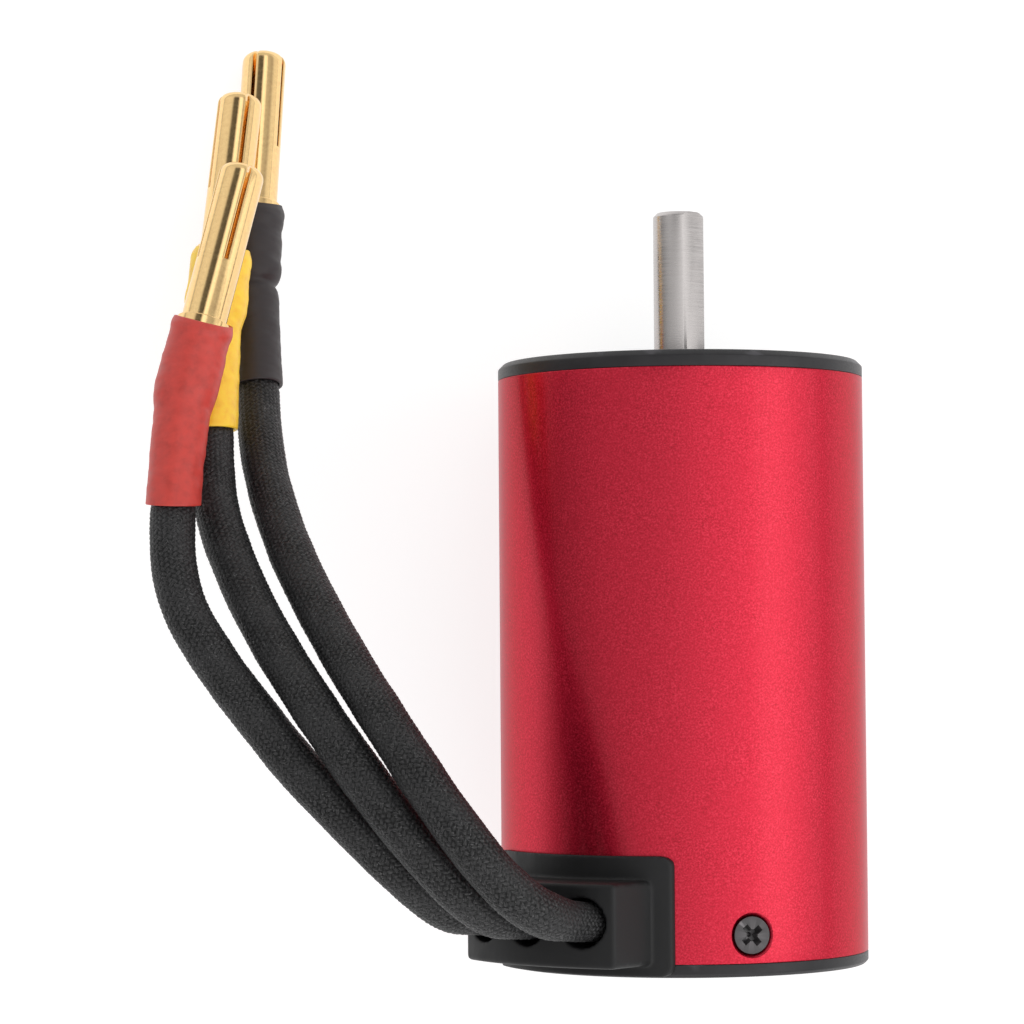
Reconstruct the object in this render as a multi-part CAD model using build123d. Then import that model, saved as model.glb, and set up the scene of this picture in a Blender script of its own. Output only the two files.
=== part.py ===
from build123d import *
import os
from math import sin, cos, tan, radians, sqrt, degrees

# Brushless inrunner motor, 36 mm can, lying on its side with its three short
# phase leads turned back alongside the can.
#
# Row frame, in millimetres: the origin is the centre of the front mounting
# face, +Y runs along the shaft away from the body, +Z is up and the motor
# lies on the plane z = -18. An azimuth is an angle about Y, from +Z towards +X.

# ---------------------------------------------------------------- driving sizes
can_r = 18.0              # can outer radius
can_wall = 2.0
body_len = 59.0           # front face to rear face
front_band = 1.6          # visible rim of the front bell
rear_band = 1.25          # visible rim of the rear bell
rim_chamfer = 0.5

shaft_r = 2.5
shaft_out = 15.0          # shaft beyond the front face
shaft_tail = -58.0        # inner end of the shaft
flat_depth = 0.5          # depth of the D flat
flat_start = -0.3         # the flat starts inside the relief groove
flat_az = 44.0
shaft_chamfer = 0.4
shaft_relief_r = 2.2      # relief groove at the root of the output end
shaft_relief_w = 0.7

mount_pcd = 25.0          # six M3 tapped holes in the front face
mount_n = 6
mount_hole_r = 1.25
front_floor = 4.0         # thickness of the front bell
front_spigot_end = -5.0
front_hole_r = 3.4        # clearance hole round the shaft
rear_floor = 2.45         # thickness of the rear bell
rear_spigot_end = -52.5
rear_hole_r = 3.0
spigot_wall = 2.2

stack_front, stack_rear = -14.0, -44.0     # lamination stack
stack_bore_r = 8.8
slots = 12
slot_in_r, slot_out_r = 9.5, 13.7
slot_in_w, slot_out_w = 2.8, 5.1
slot_mouth_w = 0.9
liner_t = 0.2
bar_gap = 0.05
insulator_t = 0.8
turn_len = 4.0            # axial length of the end turns
turn_bands = [(9.8, 10.8), (11.0, 12.0), (12.2, 13.2)]
turn_front, turn_rear = -13.0, -45.0       # inner ends of the end turns

sleeve_r, magnet_r, hub_r = 8.3, 7.9, 5.5
balance_r, balance_t = 7.4, 3.0
spacer_r = 3.4

fb_or, fb_w, fb_front = 8.0, 5.0, -1.5     # front bearing 5 x 16 x 5
rb_or, rb_w, rb_front = 6.5, 4.0, -53.6    # rear bearing 5 x 13 x 4
washer_t = 0.5

screw_az = [18.0, 138.0, 258.0]
screw_y = -body_len + 3.9
screw_shank_r, screw_head_r, screw_sink_r = 0.98, 1.85, 2.05
screw_len = 3.7

block_az = -42.0          # direction that the grommet and its leads point in
block_r = 23.5            # outer face of the raised block
block_w = 18.5
block_y0, block_y1 = -57.8, -49.9
flange_t = 0.6
flange_w = 21.56
flange_y0, flange_y1 = -58.85, -47.6
neck_w, neck_h = 17.6, 5.8
neck_gap = 0.1
hole_y = -body_len + 5.45
hole_pitch = 6.1
hole_mouth_r = 2.34       # widened mouth of each lead hole
hole_depth = 3.0          # depth of the widened mouth

lead_r = 2.2              # silicone lead in a braided sleeve
cup_r = 2.65              # solder cup of a bullet connector
pin_r = 2.25              # slotted pin of a bullet connector
pin_len = 17.0            # length of pin beyond its heat-shrink
pin_tip = 1.2             # rounding of the tip
slit_w, slit_len = 0.38, 10.8
shrink_low_r = 2.65       # heat-shrink over the lead
shrink_cup_r = 3.1        # heat-shrink over the cup
strand_r = 1.5            # bare strands soldered in the cup

# Centre lines of the three leads, from the bottom of the widened mouth of the
# grommet's hole to the bare strands inside the heat-shrink.
routes = {
    "black": [(-8.65, -53.55, 18.72), (-12.78, -53.55, 23.31), (-17.8, -49.94, 26.81), (-23.62, -42.18, 26.5), (-28.09, -35.47, 22.46), (-31.54, -30.4, 17.86), (-34.1, -26.18, 14.13), (-36.19, -22.49, 10.91), (-38.71, -17.53, 6.6), (-41.42, -9.74, 0.18), (-42.48, -0.35, -7.21), (-43.06, 8.0, -9.67)],
    "yellow": [(-13.72, -53.55, 15.23), (-18.04, -53.55, 20.04), (-22.43, -49.91, 23.48), (-28.64, -42.63, 23.32), (-33.56, -36.04, 20.29), (-37.05, -31.07, 16.7), (-39.8, -26.94, 13.36), (-42.86, -21.53, 9.22), (-45.96, -13.88, 4.41), (-46.46, -4.94, 0.13), (-46.39, 3.04, -2.31)],
    "red": [(-17.71, -53.55, 10.55), (-22.08, -53.55, 15.4), (-27.18, -48.93, 19.76), (-33.32, -42.77, 19.43), (-37.66, -38.3, 17.88), (-40.71, -34.49, 16.33), (-44.33, -30.1, 14.48), (-49.05, -22.78, 11.89), (-49.57, -13.47, 9.0), (-48.7, -4.58, 6.24)],
}
# Each connector: rim of the heat-shrink, its neck, its front rim and the
# direction that the pin points in.
plugs = {
    "black": {"rim": (-42.39, -1.74, -6.80), "neck": (-43.14, 9.15, -10.01), "top": (-42.89, 17.72, -12.12), "tip": (-42.10, 34.05, -16.25)},
    "yellow": {"rim": (-46.48, -6.33, 0.55), "neck": (-46.38, 4.19, -2.66), "top": (-45.65, 12.25, -4.77), "tip": (-43.99, 28.90, -8.90)},
    "red": {"rim": (-49.60, -13.81, 9.10), "neck": (-48.59, -3.43, 5.89), "top": (-46.84, 4.18, 3.78), "tip": (-43.12, 20.11, -0.35)},
}

os.makedirs("parts", exist_ok=True)


# ------------------------------------------------------------------- helpers
def save(shape, name):
    solids = list(shape.solids())
    out = solids[0] if len(solids) == 1 else Compound(children=solids)
    export_step(out, f"parts/{name}.step")


def rod(p0, p1, r):
    """A cylinder from p0 to p1."""
    a, b = Vector(*p0), Vector(*p1)
    return Solid.make_cylinder(r, (b - a).length, Plane(origin=a, z_dir=b - a))


def disc(r, y0, y1):
    """A cylinder about the Y axis between two stations."""
    lo, hi = min(y0, y1), max(y0, y1)
    return Solid.make_cylinder(r, hi - lo, Plane(origin=(0, lo, 0), z_dir=(0, 1, 0)))


def ring(r1, r0, y0, y1):
    return disc(r1, y0, y1) - disc(r0, y0, y1)


def block(w, y0, y1, z0, z1):
    """A box centred on x = 0."""
    return Pos(0, (y0 + y1) / 2, (z0 + z1) / 2) * Box(w, abs(y1 - y0), z1 - z0)


def turn(shape, az):
    return shape.rotate(Axis.Y, az)


def solid_of(shape):
    """The one solid of a shape."""
    s = list(shape.solids())
    s.sort(key=lambda q: -q.volume)
    return s[0]


# --------------------------------------------------------------- housing shells
inner_r = can_r - can_wall
can_front, can_rear = -front_band, -body_len + rear_band
can = ring(can_r, inner_r, can_front, can_rear)
window = turn(block(neck_w + 2 * neck_gap, hole_y - neck_h / 2 - neck_gap, hole_y + neck_h / 2 + neck_gap, 10, 20), block_az)
can = can - window
for az in screw_az:
    hole = rod((0, screw_y, 14), (0, screw_y, 19), screw_shank_r + 0.1)
    sink = Pos(0, screw_y, can_r - 0.55) * Cone(screw_shank_r + 0.1, screw_sink_r + 0.1, 1.3)
    can = can - turn(hole, az) - turn(sink, az)
save(can, "can")

# Front bell: rim, floor with the six tapped holes, spigot and bearing boss.
bell = disc(can_r, -front_band, 0)
bell = chamfer(bell.edges().filter_by(GeomType.CIRCLE).sort_by(Axis.Y)[-1], rim_chamfer)
bell = bell + disc(inner_r, -front_band, -front_floor) + ring(inner_r, inner_r - spigot_wall, -front_floor, front_spigot_end)
bell = bell + disc(fb_or + 1.2, -front_floor, fb_front - fb_w)
bell = bell - disc(fb_or, fb_front, fb_front - fb_w - 1) - disc(front_hole_r, 1, -3)
for i in range(mount_n):
    bell = bell - turn(rod((0, 1, mount_pcd / 2), (0, -front_floor - 1.5, mount_pcd / 2), mount_hole_r), i * 360 / mount_n)
# a shallow recess round the shaft hole
bell = bell - ring(6.2, front_hole_r, 1, -0.4)
save(bell, "front_end_bell")

# Rear bell: rim, floor, spigot with a gap for the leads, and bearing boss.
rear_face = -body_len
rbell = disc(can_r, rear_face, can_rear)
rbell = chamfer(rbell.edges().filter_by(GeomType.CIRCLE).sort_by(Axis.Y)[0], rim_chamfer * 0.6)
floor_y = rear_face + rear_floor
rbell = rbell + disc(inner_r, can_rear, floor_y)
spigot = ring(inner_r, inner_r - spigot_wall, floor_y, rear_spigot_end)
spigot = spigot - turn(block(19.6, floor_y, rear_spigot_end + 1, 0, 20), block_az)
rbell = rbell + spigot
rbell = rbell + disc(rb_or + 1.1, floor_y, rb_front)
rbell = rbell - disc(rb_or, rb_front + 1, rb_front - rb_w - washer_t) - disc(rear_hole_r, rear_face - 1, rb_front)
for az in screw_az:
    rbell = rbell - turn(rod((0, screw_y, 12), (0, screw_y, 19), screw_shank_r + 0.02), az)
save(rbell, "rear_end_bell")

# Countersunk cross-head screws that hold the rear bell in the can.
screws = []
for az in screw_az:
    top = can_r - 0.12
    s = rod((0, screw_y, top - screw_len), (0, screw_y, top - 0.9), screw_shank_r)
    s = s + Pos(0, screw_y, top - 0.5) * Cone(screw_shank_r, screw_head_r, 0.9 + 0.1) 
    s = s & block(6, screw_y - 3, screw_y + 3, 10, top)
    for a in (38, 128):
        s = s - Pos(0, screw_y, top) * Rot(0, 0, a) * Box(2.1, 0.5, 1.2)
    s = s - Pos(0, screw_y, top - 0.3) * Cone(0.25, 0.62, 0.6)
    screws.append(solid_of(turn(s, az)))
save(Compound(children=screws), "rear_bell_screws")


# ------------------------------------------------------------------- stator
def wedge(grow, y0, y1):
    """Slot-shaped prism at azimuth 0, made larger by grow all round."""
    a = slot_in_w / 2 + grow
    b = slot_out_w / 2 + grow
    face = Polygon((-a, slot_in_r - grow), (a, slot_in_r - grow), (b, slot_out_r + grow), (-b, slot_out_r + grow), align=None)
    lo, hi = min(y0, y1), max(y0, y1)
    # the sketch's y axis becomes +Z, and the prism runs along -Y from hi
    placed = Plane(origin=(0, hi, 0), x_dir=(1, 0, 0), z_dir=(0, -1, 0)) * face
    return extrude(placed, hi - lo)


slot_az = [i * 360 / slots for i in range(slots)]
core = ring(inner_r, stack_bore_r, stack_front, stack_rear)
one = wedge(0, stack_front + 0.1, stack_rear - 0.1) + block(slot_mouth_w, stack_rear - 0.1, stack_front + 0.1, stack_bore_r - 1, slot_in_r + 0.2)
for az in slot_az:
    core = core - turn(one, az)
save(core, "stator_laminations")

for name, y0, y1 in (("front_end_insulator", stack_front, stack_front + insulator_t), ("rear_end_insulator", stack_rear - insulator_t, stack_rear)):
    ins = ring(inner_r - 0.4, stack_bore_r + 0.4, y0, y1)
    for az in slot_az:
        ins = ins - turn(wedge(-liner_t - bar_gap + 0.02, y0 - 1, y1 + 1), az)
    save(ins, name)

liner = wedge(0, stack_front, stack_rear) - wedge(-liner_t, stack_front + 1, stack_rear - 1)
save(Compound(children=[solid_of(turn(liner, az)) for az in slot_az]), "slot_liners")

for k, letter in enumerate("uvw"):
    r0, r1 = turn_bands[k]
    coil = ring(r1, r0, turn_front, turn_front + turn_len) + ring(r1, r0, turn_rear, turn_rear - turn_len)
    bar = wedge(-liner_t - bar_gap, turn_front - 0.15, turn_rear + 0.15)
    stub = block(slot_in_w - 1.0, turn_rear - 0.3, turn_front + 0.3, r0 + 0.05, r1 - 0.05)
    for az in slot_az[k::3]:
        coil = coil + turn(bar + stub, az)
    save(coil, f"phase_{letter}_winding")

star = turn(block(1.4, turn_front + turn_len, turn_front + turn_len + 0.8, turn_bands[0][0], turn_bands[2][1]), 200)
save(star, "star_point_bar")

# -------------------------------------------------------------------- rotor
shaft = disc(shaft_r, shaft_tail, shaft_out)
shaft = chamfer(shaft.edges().filter_by(GeomType.CIRCLE).sort_by(Axis.Y)[-1], shaft_chamfer)
shaft = shaft - ring(shaft_r + 1, shaft_relief_r, -shaft_relief_w, 0)
shaft = shaft - turn(block(8, flat_start, shaft_out + 1, shaft_r - flat_depth, shaft_r + 3), flat_az)
save(shaft, "shaft")
save(ring(hub_r, shaft_r, stack_front, stack_rear), "rotor_hub")
mags = []
for i in range(4):
    m = ring(magnet_r, hub_r, stack_front, stack_rear)
    m = m & (Pos(0, 0, 0) * turn(block(20, stack_rear - 1, stack_front + 1, 0.05, 12), 45 + 90 * i)) & turn(block(20, stack_rear - 1, stack_front + 1, 0.05, 12), 135 + 90 * i)
    mags.append(solid_of(m))
save(Compound(children=mags), "rotor_magnets")
save(ring(sleeve_r, magnet_r, stack_front, stack_rear), "rotor_sleeve")
front_bal = ring(balance_r, shaft_r, stack_front + balance_t + 0.4, stack_front + 0.4)
front_bal = front_bal - turn(rod((0, stack_front + 1, 5.6), (0, stack_front + 5, 5.6), 0.8), 70)
save(front_bal, "front_balance_ring")
rear_bal = ring(balance_r, shaft_r, stack_rear - 0.4, stack_rear - balance_t - 0.4)
rear_bal = rear_bal - turn(rod((0, stack_rear - 1, 5.6), (0, stack_rear - 5, 5.6), 0.8), 215)
save(rear_bal, "rear_balance_ring")
save(ring(spacer_r, shaft_r, fb_front - fb_w, stack_front + balance_t + 0.4), "front_spacer")
save(ring(spacer_r, shaft_r, rb_front, stack_rear - balance_t - 0.4), "rear_spacer")


# ------------------------------------------------------------------ bearings
def bearing(tag, outer, width, y_front, land_in, land_out, pitch, ball_r, n, shield_in, shield_out, shield_t, cage_w, cage_r0, cage_r1):
    y1, y0 = y_front, y_front - width
    ym = (y0 + y1) / 2
    frame = Plane(origin=(0, ym, 0), z_dir=(0, 1, 0))
    groove = Solid.make_torus(pitch, ball_r + 0.05, frame)
    race_out = ring(outer, land_out, y0, y1) - groove
    race_out = race_out - disc(shield_out, y1 + 1, y1 - shield_t) - disc(shield_out, y0 - 1, y0 + shield_t)
    race_in = ring(land_in, shaft_r, y0, y1) - groove
    shields = [ring(shield_out, shield_in, y1, y1 - shield_t), ring(shield_out, shield_in, y0, y0 + shield_t)]
    cage = ring(cage_r1, cage_r0, ym - cage_w / 2, ym + cage_w / 2)
    balls = []
    for i in range(n):
        c = turn(Pos(0, ym, pitch) * Sphere(ball_r), i * 360 / n)
        balls.append(solid_of(c))
        cage = cage - turn(Pos(0, ym, pitch) * Sphere(ball_r + 0.04), i * 360 / n)
    save(race_out, f"{tag}_bearing_outer_ring")
    save(race_in, f"{tag}_bearing_inner_ring")
    save(Compound(children=[solid_of(s) for s in shields]), f"{tag}_bearing_shields")
    save(Compound(children=balls), f"{tag}_bearing_balls")
    save(cage, f"{tag}_bearing_cage")
    print(tag, "cage ratio", round(0.5 * (1 - ball_r / pitch), 5))


bearing("front", fb_or, fb_w, fb_front, 4.35, 6.25, 5.3, 1.2, 7, 4.45, 6.9, 0.35, 3.4, 5.0, 5.6)
bearing("rear", rb_or, rb_w, rb_front, 3.85, 5.2, 4.53, 0.9, 8, 3.95, 5.7, 0.3, 2.6, 4.3, 4.75)
wave = ring(rb_or - 0.2, rb_or - 1.9, rb_front - rb_w, rb_front - rb_w - washer_t)
wave = wave - turn(block(1.2, rb_front - rb_w - 1, rb_front - rb_w + 1, 3, 8), 100)
save(wave, "wave_washer")


# ------------------------------------------------------------ grommet and leads
def prism(w, y0, y1, corner):
    """A rounded rectangular prism about the block's direction, at azimuth 0."""
    face = Pos(0, (y0 + y1) / 2) * RectangleRounded(w, y1 - y0, corner)
    return extrude(face, 40)


shell = disc(can_r + flange_t, -70, 10) - disc(can_r, -71, 11)
flange = prism(flange_w, flange_y0, flange_y1, 1.0) & shell
raised = (prism(block_w, block_y0, block_y1, 0.5) & disc(block_r, -70, 10)) - disc(can_r, -71, 11)
outer_edges = [e for e in raised.edges() if sqrt(e.center().X ** 2 + e.center().Z ** 2) > block_r - 1.0 and abs(e.tangent_at(0.5).Z) < 0.8]
try:
    raised = fillet(outer_edges, 0.4)
except Exception:
    print("block edges left sharp")
neck = (prism(neck_w, hole_y - neck_h / 2, hole_y + neck_h / 2, 0.8) & disc(can_r + 0.3, -70, 10)) - disc(inner_r - 0.6, -71, 11)
grommet = flange + raised + neck
for k in (-1, 0, 1):
    x = k * hole_pitch
    mouth = sqrt(block_r ** 2 - x ** 2)
    grommet = grommet - rod((x, hole_y, 8), (x, hole_y, 30), lead_r)
    grommet = grommet - rod((x, hole_y, mouth - hole_depth), (x, hole_y, 30), hole_mouth_r)
grommet = turn(grommet, block_az)
save(grommet, "lead_grommet")

# Inner ends of the leads, from the grommet to the rear end turns.
tails = []
for k, (r0, r1) in zip((-1, 0, 1), turn_bands):
    x = k * hole_pitch
    mouth = sqrt(block_r ** 2 - x ** 2)
    d = sqrt(((r0 + r1) / 2) ** 2 - x ** 2)
    t = rod((x, hole_y, 12.6), (x, hole_y, mouth - hole_depth), lead_r)
    t = t + rod((x, hole_y, d), (x, hole_y, 13.0), 0.45) + Pos(x, hole_y, d) * Sphere(0.45)
    t = t + rod((x, hole_y, d), (x, turn_rear - turn_len, d), 0.45)
    tails.append(solid_of(turn(t, block_az)))
save(Compound(children=tails), "lead_tails")


def lead_tube(name):
    """The lead as straight runs joined by tangent arcs."""
    pts = [Vector(*p) for p in routes[name]]
    radii, turns, runs = [], [], [(b - a).length for a, b in zip(pts, pts[1:])]
    for i in range(1, len(pts) - 1):
        a, b = pts[i] - pts[i - 1], pts[i + 1] - pts[i]
        bend = a.get_angle(b)
        turns.append(round(bend, 1))
        radii.append(0.45 * min(a.length, b.length) / tan(radians(bend) / 2))
    path = FilletPolyline(*pts, radius=radii)
    start = Plane(origin=pts[0], z_dir=pts[1] - pts[0])
    tube = sweep(start * Circle(lead_r), path=path, transition=Transition.RIGHT)
    length = path.length
    print(name, "runs", [round(r, 1) for r in runs], "turns", turns)
    print(name, "radii", [round(r, 1) for r in radii], "length", round(length, 1), "volume ratio", round(tube.volume / (length * 3.141592653589793 * lead_r ** 2), 4))
    return solid_of(tube)


cores = []
for name in ("black", "yellow", "red"):
    tube = lead_tube(name)
    save(tube, f"{name}_lead")
    p = plugs[name]
    rim, neckp, top = Vector(*p["rim"]), Vector(*p["neck"]), Vector(*p["top"])
    aim = (Vector(*p["tip"]) - top).normalized()
    low = (neckp - rim).normalized()
    back = top - aim * 8.2          # rear edge of the solder cup
    tip = top + aim * pin_len
    # bullet connector: solder cup, slotted sprung pin with a rounded tip
    pin = rod(back, top, cup_r) + rod(top, tip, pin_r)
    ends = [e for e in pin.edges().filter_by(GeomType.CIRCLE) if (e.arc_center - tip).length < 0.05 and abs(e.radius - pin_r) < 0.01]
    pin = fillet(ends, pin_tip)
    pin = pin - rod(tip - aim * slit_len, tip + aim, 0.75)
    frame = Plane(origin=tip - aim * slit_len, z_dir=aim, x_dir=Vector(0, 0, 1).cross(aim).normalized())
    spin = {"black": -23, "yellow": 25, "red": 22}[name]
    for a in (0, 90):
        slot = frame * (Rot(0, 0, spin + a) * Pos(0, 0, slit_len) * Box(8, slit_w, slit_len * 2))
        pin = pin - slot
    pin = pin - rod(back - aim, back + aim * 6.0, strand_r + 0.15)
    save(solid_of(pin), f"{name}_bullet")
    # bare strands between the lead's end and the cup
    end = Vector(*routes[name][-1])
    core_piece = rod(end, neckp, strand_r) + Pos(neckp) * Sphere(strand_r) + rod(neckp, back + aim * 5.8, strand_r)
    core_piece = core_piece - rod(end - low * 3, end, lead_r)
    cores.append(solid_of(core_piece))
    # heat-shrink over the cup and the end of the lead
    cover = rod(rim, neckp, shrink_low_r) + Pos(neckp) * Sphere(shrink_low_r) + rod(top - aim * 8.6, top, shrink_cup_r)
    cover = cover - tube - rod(back, top + aim, cup_r) - rod(end, neckp, lead_r) - Pos(neckp) * Sphere(lead_r) - rod(neckp, back + aim * 0.5, lead_r)
    save(solid_of(cover), f"{name}_heat_shrink")
save(Compound(children=cores), "lead_strands")
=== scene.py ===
import math

import bmesh
import bpy
import numpy as np
from mathutils import Matrix, Vector


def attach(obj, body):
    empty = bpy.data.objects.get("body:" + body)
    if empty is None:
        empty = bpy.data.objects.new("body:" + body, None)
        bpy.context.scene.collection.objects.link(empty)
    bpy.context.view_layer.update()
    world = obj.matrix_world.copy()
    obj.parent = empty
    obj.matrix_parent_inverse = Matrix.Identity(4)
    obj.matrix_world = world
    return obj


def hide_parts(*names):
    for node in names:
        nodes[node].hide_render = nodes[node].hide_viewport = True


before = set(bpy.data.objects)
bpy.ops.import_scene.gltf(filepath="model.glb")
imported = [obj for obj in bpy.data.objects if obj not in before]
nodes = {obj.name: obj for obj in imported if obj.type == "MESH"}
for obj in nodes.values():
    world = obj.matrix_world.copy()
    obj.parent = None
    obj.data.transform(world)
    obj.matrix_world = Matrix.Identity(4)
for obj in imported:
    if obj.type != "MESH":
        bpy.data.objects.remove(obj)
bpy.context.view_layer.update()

MM = 0.001
scene = bpy.context.scene

# ------------------------------------------------------------------ camera
cam_data = bpy.data.cameras.new("camera")
cam_data.lens = 123.86
cam_data.sensor_width = 36.0
cam_data.clip_start, cam_data.clip_end = 0.02, 20.0
camera = bpy.data.objects.new("camera", cam_data)
scene.collection.objects.link(camera)
right = Vector((0.999972863, -0.00736096185, -0.000298905))
down = Vector((-0.00736703, -0.99914945, -0.04057228))
ahead = Vector((0.0, 0.04057338, -0.99917656))
turn = Matrix((right, -down, -ahead)).transposed().to_4x4()
camera.matrix_world = Matrix.Translation(Vector((-16.70690878, -28.69994016, 348.49295349)) * MM) @ turn
scene.camera = camera


# ----------------------------------------------------------------- helpers
def add_mesh(name, verts, faces, material=None, smooth=True, sharp=None):
    """A mesh object from vertices in millimetres. Faces all have the same number of corners, or are a list of lists."""
    me = bpy.data.meshes.new(name)
    v = np.asarray(verts, dtype=np.float64) * MM
    if isinstance(faces, np.ndarray):
        n = faces.shape[1]
        me.vertices.add(len(v))
        me.vertices.foreach_set("co", v.astype(np.float32).ravel())
        me.loops.add(faces.size)
        me.loops.foreach_set("vertex_index", faces.astype(np.int32).ravel())
        me.polygons.add(len(faces))
        me.polygons.foreach_set("loop_start", np.arange(0, faces.size, n, dtype=np.int32))
        me.update(calc_edges=True)
    else:
        me.from_pydata(v.tolist(), [], faces)
        me.update()
    me.validate()
    if smooth:
        me.polygons.foreach_set("use_smooth", np.ones(len(me.polygons), dtype=bool))
    if sharp is not None:
        me.set_sharp_from_angle(angle=math.radians(sharp))
    ob = bpy.data.objects.new(name, me)
    scene.collection.objects.link(ob)
    if material is not None:
        me.materials.append(material)
    return ob


def outward(verts, faces):
    """The faces turned so that a closed mesh has positive volume."""
    a, b, c = verts[faces[:, 0]], verts[faces[:, 1]], verts[faces[:, 2]]
    vol = np.einsum("ij,ij->i", a, np.cross(b, c)).sum()
    if faces.shape[1] == 4:
        d = verts[faces[:, 3]]
        vol += np.einsum("ij,ij->i", a, np.cross(c, d)).sum()
    return faces if vol > 0 else faces[:, ::-1]


def round_profile(points, radii, steps=4):
    """A closed (radius, station) outline with each corner rounded by its own radius."""
    out, n = [], len(points)
    for i in range(n):
        p0, p, p1 = (np.array(points[(i + k) % n], float) for k in (-1, 0, 1))
        r = radii[i] if i < len(radii) else 0.0
        if r <= 0:
            out.append(tuple(p))
            continue
        a, b = p0 - p, p1 - p
        la, lb = np.linalg.norm(a), np.linalg.norm(b)
        a, b = a / la, b / lb
        cut = min(r, 0.45 * la, 0.45 * lb)
        s, e = p + a * cut, p + b * cut
        for k in range(steps + 1):
            t = k / steps
            out.append(tuple((1 - t) ** 2 * s + 2 * t * (1 - t) * p + t * t * e))
    return out


def densify(profile, longest):
    """Adds points to the long sides of a closed outline."""
    out, n = [], len(profile)
    for i in range(n):
        p, q = np.array(profile[i], float), np.array(profile[(i + 1) % n], float)
        k = max(1, int(math.ceil(np.linalg.norm(q - p) / longest)))
        for j in range(k):
            out.append(tuple(p + (q - p) * j / k))
    return out


def lathe(profile, segs):
    """Vertices and quads of a closed outline (radius, station) turned about +Y. Points at radius 0 stay tiny rings."""
    pr = np.array(profile, float)
    ang = np.arange(segs) * 2 * math.pi / segs
    v = np.empty((len(pr), segs, 3))
    v[:, :, 0] = pr[:, 0:1] * np.sin(ang)
    v[:, :, 1] = pr[:, 1:2]
    v[:, :, 2] = pr[:, 0:1] * np.cos(ang)
    v = v.reshape(-1, 3)
    i, j = np.meshgrid(np.arange(len(pr)), np.arange(segs), indexing="ij")
    i1, j1 = (i + 1) % len(pr), (j + 1) % segs
    f = np.stack([i * segs + j, i1 * segs + j, i1 * segs + j1, i * segs + j1], -1).reshape(-1, 4)
    return v, outward(v, f)


def spindle(profile, segs):
    """As lathe, for an open outline whose first and last points lie on the axis."""
    pr = np.array(profile, float)
    inner = pr[1:-1]
    ang = np.arange(segs) * 2 * math.pi / segs
    v = np.empty((len(inner), segs, 3))
    v[:, :, 0] = inner[:, 0:1] * np.sin(ang)
    v[:, :, 1] = inner[:, 1:2]
    v[:, :, 2] = inner[:, 0:1] * np.cos(ang)
    v = np.vstack([v.reshape(-1, 3), [[0, pr[0, 1], 0]], [[0, pr[-1, 1], 0]]])
    n0, n1 = len(v) - 2, len(v) - 1
    faces = []
    for i in range(len(inner) - 1):
        for j in range(segs):
            j1 = (j + 1) % segs
            faces.append([i * segs + j, (i + 1) * segs + j, (i + 1) * segs + j1, i * segs + j1])
    last = (len(inner) - 1) * segs
    for j in range(segs):
        j1 = (j + 1) % segs
        faces.append([n0, j, j1])
        faces.append([n1, last + j1, last + j])
    # orientation: an outline that runs towards +Y with the axis on its left needs no flip
    a = np.array([v[f[0]] for f in faces])
    b = np.array([v[f[1]] for f in faces])
    c = np.array([v[f[2]] for f in faces])
    d = np.array([v[f[3]] if len(f) == 4 else v[f[2]] for f in faces])
    vol = np.einsum("ij,ij->i", a, np.cross(b, c)).sum() + np.einsum("ij,ij->i", a, np.cross(c, d)).sum()
    if vol < 0:
        faces = [f[::-1] for f in faces]
    return v, faces


def spin_y(az):
    return Matrix.Rotation(math.radians(az), 4, "Y")


def cut(ob, cutters, sharp=30):
    """Cuts closed meshes out of ob and removes them."""
    for c in cutters:
        m = ob.modifiers.new("cut", "BOOLEAN")
        m.operation, m.solver, m.object = "DIFFERENCE", "EXACT", c
    bpy.context.view_layer.update()
    dg = bpy.context.evaluated_depsgraph_get()
    me = bpy.data.meshes.new_from_object(ob.evaluated_get(dg))
    ob.modifiers.clear()
    old = ob.data
    ob.data = me
    me.name = old.name
    bpy.data.meshes.remove(old)
    for c in cutters:
        bpy.data.objects.remove(c)
    me.polygons.foreach_set("use_smooth", np.ones(len(me.polygons), dtype=bool))
    me.set_sharp_from_angle(angle=math.radians(sharp))
    return ob


def apply_modifiers(ob, sharp=None):
    bpy.context.view_layer.update()
    dg = bpy.context.evaluated_depsgraph_get()
    me = bpy.data.meshes.new_from_object(ob.evaluated_get(dg))
    ob.modifiers.clear()
    old = ob.data
    ob.data = me
    me.name = old.name
    bpy.data.meshes.remove(old)
    me.polygons.foreach_set("use_smooth", np.ones(len(me.polygons), dtype=bool))
    if sharp is not None:
        me.set_sharp_from_angle(angle=math.radians(sharp))
    return ob


def box_mesh(name, lo, hi, matrix=None):
    v = np.array([[x, y, z] for x in (lo[0], hi[0]) for y in (lo[1], hi[1]) for z in (lo[2], hi[2])], float)
    f = np.array([[0, 1, 3, 2], [4, 6, 7, 5], [0, 4, 5, 1], [2, 3, 7, 6], [0, 2, 6, 4], [1, 5, 7, 3]])
    ob = add_mesh(name, v, outward(v, f), smooth=False)
    if matrix is not None:
        ob.data.transform(matrix)
    return ob


def turned(name, profile, segs=64, matrix=None):
    """A closed solid of revolution about its own +Y, placed by a matrix in metres."""
    v, f = spindle(profile, segs)
    ob = add_mesh(name, v, f)
    if matrix is not None:
        ob.data.transform(matrix)
    return ob


def noise_1d(x, seed, octaves=3):
    """Smooth repeatable noise of one variable, about -1 to 1."""
    out = np.zeros_like(x, dtype=float)
    for k in range(octaves):
        f = 2.0 ** k
        out += (np.sin(x * f * 1.7 + seed * 1.3 + k * 2.1) + np.sin(x * f * 2.9 + seed * 2.7 + k * 0.7)) / (2 * f)
    return out / 1.5


# --------------------------------------------------------------- materials
def new_material(name):
    m = bpy.data.materials.new(name)
    m.use_nodes = True
    return m, m.node_tree, m.node_tree.nodes["Principled BSDF"]


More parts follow.
